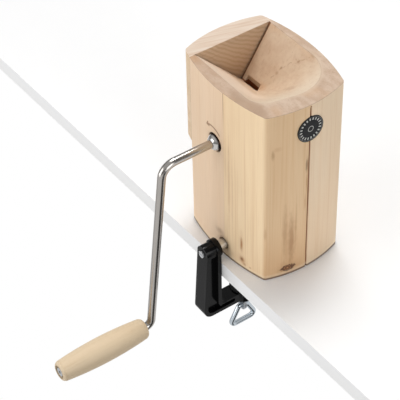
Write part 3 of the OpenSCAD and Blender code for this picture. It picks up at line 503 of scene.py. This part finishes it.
def badge_finish():
    """Black plate with a thin pale ring and two arcs of plain ticks, and no words."""
    plate = Finish("badge_face_printed")
    low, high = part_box("badge")
    centre_y, centre_z, outer = (low.y + high.y) / 2, (low.z + high.z) / 2, (high.y - low.y) / 2
    across = plate.y - centre_y
    up = plate.z - centre_z
    radius = (across ** 2 + up ** 2).root()
    turn = up.math("ARCTAN2", up, across)
    ticks = (turn * 20).sine().rise(0.15, 0.45)
    band = radius.rise(outer * 0.66, outer * 0.68) * radius.rise(outer * 0.86, outer * 0.84)
    gap = abs(across).rise(outer * 0.98, outer * 0.80)
    ring = abs(radius - outer * 0.93).rise(0.22 * MM, 0.12 * MM)
    dot = abs(radius - outer * 0.2).rise(0.45 * MM, 0.3 * MM)
    mark = (ticks * band * gap).larger(ring * 0.6).larger(dot * 0.7)
    scuff = plate.noise((240, 240, 240), detail=3.0)
    ground = plate.mix(scuff, tone(20, 21, 23), tone(32, 33, 35))
    body = plate.mix(mark * 0.85, ground, tone(212, 212, 206))
    rough = 0.50 + scuff * 0.12
    return plate.surface(body, rough, plate.bump(mark, 0.05 * MM), **{"Specular IOR Level": 0.2})


def dress(material, *names):
    """Puts a finish on CAD nodes."""
    for name in names:
        for slot in NODES[name].material_slots:
            slot.material = material


def ease(name, width, angle=35, segments=2):
    """Rounds a CAD node's sharp edges a little: its loose triangles are joined, then bevelled."""
    node = NODES[name]
    weld = node.modifiers.new("join", "WELD")
    weld.merge_threshold = 1e-6
    bevel = node.modifiers.new("ease", "BEVEL")
    bevel.width = width
    bevel.segments = segments
    bevel.limit_method = "ANGLE"
    bevel.angle_limit = math.radians(angle)
    bevel.harden_normals = True


def surface_piece(name, points, body, material, closed_rows=False, closed_columns=True):
    """A mesh on a grid of points (rows, columns, 3). Each quad joins neighbours, and closed
    directions wrap round. Its normals point along columns x rows."""
    rows, columns = points.shape[:2]
    row = np.arange(rows if closed_rows else rows - 1)
    column = np.arange(columns if closed_columns else columns - 1)
    i, j = (index.ravel() for index in np.meshgrid(row, column, indexing="ij"))
    i2, j2 = (i + 1) % rows, (j + 1) % columns
    quads = np.stack([i * columns + j, i * columns + j2, i2 * columns + j2, i2 * columns + j], 1)
    mesh = bpy.data.meshes.new(name)
    mesh.from_pydata(points.reshape(-1, 3).tolist(), [], quads.tolist())
    shape = bmesh.new()
    shape.from_mesh(mesh)
    bmesh.ops.remove_doubles(shape, verts=shape.verts, dist=1e-7)
    bmesh.ops.recalc_face_normals(shape, faces=shape.faces)
    shape.to_mesh(mesh)
    shape.free()
    mesh.polygons.foreach_set("use_smooth", np.ones(len(mesh.polygons), bool))
    mesh.set_sharp_from_angle(angle=math.radians(40))
    mesh.materials.append(material)
    piece = bpy.data.objects.new(name, mesh)
    bpy.context.scene.collection.objects.link(piece)
    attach(piece, body)
    return piece


def rounded_loop(corners, radii, steps=10):
    """A closed polygon with each corner cut by an arc that touches both of its sides."""
    corners = np.array(corners, float)
    into = corners - np.roll(corners, 1, 0)
    into /= np.linalg.norm(into, axis=1)[:, None]
    out = np.roll(into, -1, 0)
    side = np.stack([-into[:, 1], into[:, 0]], 1)
    turn = np.arctan2((side * out).sum(1), (into * out).sum(1))
    radii = np.array(radii, float)
    trim = radii * np.tan(np.abs(turn) / 2)
    centres = corners - into * trim[:, None] + side * (np.sign(turn) * radii)[:, None]
    share = np.linspace(0, 1, steps + 1)
    spin = turn[:, None] * share
    spoke = -side * (np.sign(turn) * radii)[:, None]
    cos, sin = np.cos(spin), np.sin(spin)
    arcs = np.stack([spoke[:, :1] * cos - spoke[:, 1:] * sin,
                     spoke[:, :1] * sin + spoke[:, 1:] * cos], 2)
    return (centres[:, None] + arcs).reshape(-1, 2)


def wire_bail():
    """Round wire along a rounded triangle: each ring stands square to the triangle's outline.
    A point is the outline, plus cos(f) along its outward normal and sin(f) along X."""
    wire = (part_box("wire_bail")[1].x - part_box("wire_bail")[0].x) / 2
    half_width, height, half_top = 16 * MM, 22 * MM, 1.7 * wire
    corners = [(half_width, -height), (half_top, 0), (-half_top, 0), (-half_width, -height)]
    line = rounded_loop(corners, [1.7 * wire, 1.2 * wire, 1.2 * wire, 1.7 * wire])
    ahead = np.roll(line, -1, 0) - np.roll(line, 1, 0)
    ahead /= np.linalg.norm(ahead, axis=1)[:, None]
    normal = np.stack([-ahead[:, 1], ahead[:, 0]], 1)
    around = np.linspace(0, 2 * math.pi, 28, endpoint=False)
    points = np.zeros((len(line), len(around), 3))
    points[..., 0] = BAIL_PIVOT.x + wire * np.sin(around)
    points[..., 1] = BAIL_PIVOT.y + line[:, :1] + normal[:, :1] * wire * np.cos(around)
    points[..., 2] = BAIL_PIVOT.z + line[:, 1:] + normal[:, 1:] * wire * np.cos(around)
    finish = steel_finish("bail_zinc", tone(214, 223, 230), 0.13, 0.06)
    bail = surface_piece("bail_wire", points, "bail", finish, closed_rows=True)
    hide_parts("wire_bail")


def spindle():
    """The clamp screw with a real thread and a flat eye for the bail. Its radius is the outer
    one less depth * |2 * frac(z / pitch - angle / 2 pi) - 1|, faded out at both ends."""
    low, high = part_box("clamp_screw")
    pad_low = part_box("clamp_pad")[0].z - 0.03 * MM
    outer, depth, pitch, rows_a_turn = 4 * MM, 0.72 * MM, 1.25 * MM, 10
    eye, thick, neck = (high.x - low.x) / 2, 3.6 * MM, 3.4 * MM
    start = BAIL_PIVOT.z + eye + 1 * MM
    z = np.arange(start, pad_low, pitch / rows_a_turn)
    angle = np.linspace(0, 2 * math.pi, 40, endpoint=False)
    phase = np.mod(z[:, None] / pitch - angle / (2 * math.pi), 1)
    faded = np.clip(np.minimum(z - start, pad_low - z) / (2 * pitch), 0, 1)[:, None]
    thread = outer - depth * np.abs(2 * phase - 1) * faded
    tip = 2.48 * MM
    ends = [(start, 0), (start, outer - 0.5 * MM), (pad_low, outer - 0.8 * MM), (pad_low, tip),
            (high.z - 0.4 * MM, tip), (high.z, tip - 0.4 * MM), (high.z, 0)]
    heights = np.concatenate([[ends[0][0], ends[1][0]], z[1:], [end[0] for end in ends[2:]]])
    flat = np.ones_like(angle)
    radii = np.vstack([ends[0][1] * flat, ends[1][1] * flat, thread[1:]]
                      + [end[1] * flat for end in ends[2:]])
    points = np.zeros(radii.shape + (3,))
    points[..., 0] = BAIL_PIVOT.x + radii * np.cos(angle)
    points[..., 1] = BAIL_PIVOT.y + radii * np.sin(angle)
    points[..., 2] = heights[:, None]
    finish = steel_finish("spindle_zinc", tone(190, 194, 198), 0.30)
    screw = surface_piece("spindle_thread", points, "spindle", finish)
    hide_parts("clamp_screw")

    turn = np.linspace(0, 2 * math.pi, 96, endpoint=False)
    side, rise = np.abs(np.sin(turn)), np.cos(turn)
    stem = np.minimum(neck / np.maximum(side, 0.01), (eye + 1 * MM) / np.maximum(rise, 0.01))
    edge = np.maximum(eye, np.where(rise > 0.3, stem, 0))
    hole, soft = (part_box("wire_bail")[1].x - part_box("wire_bail")[0].x) / 2 + 0.2 * MM, 0.4 * MM
    half = thick / 2
    section = [(hole + soft, -half), (edge - soft, -half), (edge, soft - half), (edge, half - soft),
               (edge - soft, half), (hole + soft, half), (hole, half - soft), (hole, soft - half)]
    points = np.zeros((len(section), len(turn), 3))
    for row, (radius, shift) in enumerate(section):
        points[row, :, 0] = BAIL_PIVOT.x + radius * np.sin(turn)
        points[row, :, 1] = BAIL_PIVOT.y + shift
        points[row, :, 2] = BAIL_PIVOT.z + radius * np.cos(turn)
    surface_piece("spindle_eye", points, "spindle", finish, closed_rows=True)


def table_top():
    """The table under the block: a pale slab whose edge runs past the clamp."""
    edge_y, slope, thick, reach = -61.4 * MM, 0.0245, 17 * MM, 2.0
    across = np.array([[-reach, edge_y - slope * reach], [reach, edge_y + slope * reach]])
    far = np.array([[-reach, reach], [reach, reach]])
    low, high = -thick, -0.05 * MM
    corners = [(x, y, z) for z in (low, high) for x, y in np.vstack([across, far[::-1]])]
    faces = [(3, 2, 1, 0), (4, 5, 6, 7), (0, 1, 5, 4), (1, 2, 6, 5), (2, 3, 7, 6), (3, 0, 4, 7)]
    mesh = bpy.data.meshes.new("table_top")
    mesh.from_pydata(corners, [], faces)
    board = Finish("table_white")
    dust = board.noise((30, 30, 30), detail=2.0)
    shade = board.mix(dust, tone(250, 250, 250), tone(252, 252, 252))
    edge = board.z.rise(-0.3 * MM, -0.6 * MM)
    shade = board.mix(edge, shade, tone(250, 250, 250))
    mesh.materials.append(board.surface(shade, 0.6))
    slab = bpy.data.objects.new("table_top", mesh)
    bpy.context.scene.collection.objects.link(slab)


def studio():
    """White surroundings for the camera. The object is lit by a sky that is bright overhead and
    dim at the sides with one dark screen in it, by a white ground with one dark part towards +X,
    and by three lamps."""
    world = bpy.data.worlds.new("studio")
    bpy.context.scene.world = world
    world.use_nodes = True
    around = Field(world.node_tree)
    around.tree.nodes.clear()
    x, y, z = around.split(around.node("ShaderNodeTexCoord", {}, {}, "Generated"))
    heading = x / (x * x + y * y + 1e-4).root()
    ground = heading.rise(0.945, 0.82) * 0.92 + 0.06
    ground = ground * (x.rise(-0.40, -0.60) * -0.28 + 1.0)
    screen = (x * 0.605 + y * 0.413 + z * 0.680).rise(0.90, 0.975)
    sky = (z.rise(0.05, 0.80) * 0.46 + 0.19) * (screen * -0.75 + 1.0)
    strength = ground + z.rise(-0.02, 0.02) * (sky - ground)
    light = around.node("ShaderNodeBackground", {}, {"Strength": strength})
    plain = around.node("ShaderNodeBackground", {}, {"Color": (1, 1, 1, 1), "Strength": 1.0})
    seen = around.node("ShaderNodeLightPath", {}, {}, "Is Camera Ray")
    shown = around.node("ShaderNodeMixShader", {}, {0: seen, 1: light, 2: plain})
    around.node("ShaderNodeOutputWorld", {}, {"Surface": shown}, None)
    lamp("key", (-0.42, 0.38, 2.00), 0.75, 23.0)
    lamp("front", (-0.45, -1.75, 0.50), 1.3, 13.0)
    lamp("side", (1.75, -0.15, 0.50), 0.9, 8.5)


def lamp(name, place, size, power):
    """A square lamp that looks at the middle of the block."""
    data = bpy.data.lights.new(name, "AREA")
    data.size = size
    data.energy = power
    light = bpy.data.objects.new(name, data)
    target = Vector((0, 0, BLOCK_TOP / 2))
    light.location = place
    light.rotation_mode = "QUATERNION"
    light.rotation_quaternion = (target - Vector(place)).to_track_quat("-Z", "Y")
    bpy.context.scene.collection.objects.link(light)


def photo_camera():
    """The camera as fitted to the photograph: turned, raised and tilted round a target point."""
    turn, rise, tilt = math.radians(55.67), math.radians(42.86), math.radians(-1.44)
    distance = 1.519
    target = Vector((-11.68, -63.59, 60.08)) * MM
    focal_pixels, image_pixels, sensor_mm = 1641.07, 400, 36.0
    back = Vector((math.sin(turn) * math.cos(rise), -math.cos(turn) * math.cos(rise), math.sin(rise)))
    level = Vector((math.cos(turn), math.sin(turn), 0))
    upright = back.cross(level)
    right = level * math.cos(tilt) + upright * math.sin(tilt)
    up = upright * math.cos(tilt) - level * math.sin(tilt)
    data = bpy.data.cameras.new("photo_view")
    data.sensor_width = sensor_mm
    data.lens = focal_pixels * sensor_mm / image_pixels
    data.clip_start = 0.1
    data.clip_end = 20
    camera = bpy.data.objects.new("photo_view", data)
    columns = Matrix((right, up, back)).transposed()
    camera.matrix_world = Matrix.Translation(target + back * distance) @ columns.to_4x4()
    bpy.context.scene.collection.objects.link(camera)
    bpy.context.scene.camera = camera
    bpy.context.scene.view_settings.view_transform = "Standard"


dress(block_finish("block_front_wood", "front"), "block_front")
dress(block_finish("block_back_wood", "back"), "block_back")
dress(board_finish(), "cover_board")
dress(grip_finish(), "grip")
dress(plain_wood_finish(), "block_dowels")
dress(steel_finish("rod_satin", tone(194, 189, 184), 0.21, 0.05, (60, 900, 900)), "crank_rod")
dress(hub_finish(), "crank_hub")
dress(steel_finish("clamp_rod_bright", tone(220, 219, 216), 0.34), "clamp_rod")
dress(steel_finish("screw_zinc", tone(232, 234, 236), 0.30), "bracket_screw", "cover_screws",
      "spacer_screws", "cassette_screws", "grip_screw", "grip_washer")
dress(steel_finish("pin_bright", tone(150, 152, 154), 0.35), "hub_pins", "drive_key", "idler_key")
dress(steel_finish("plate_cut", tone(168, 170, 172), 0.42), "front_plate", "rear_plate",
      "plate_spacers")
dress(steel_finish("roller_hardened", tone(120, 122, 126), 0.36), "drive_roller", "idler_roller")
dress(steel_finish("gear_cut", tone(198, 172, 110), 0.34), "drive_gear", "idler_gear")
dress(steel_finish("bush_bronze", tone(178, 128, 76), 0.45), "bearing_bushes")
dress(casting_finish("bracket_black"), "clamp_bracket")
dress(casting_finish("pad_black"), "clamp_pad")
dress(badge_finish(), "badge")
for node_name in ("block_front", "block_back", "cover_board"):
    ease(node_name, 0.7 * MM)
ease("clamp_bracket", 1.3 * MM, segments=3)
wire_bail()
spindle()
table_top()
studio()
photo_camera()
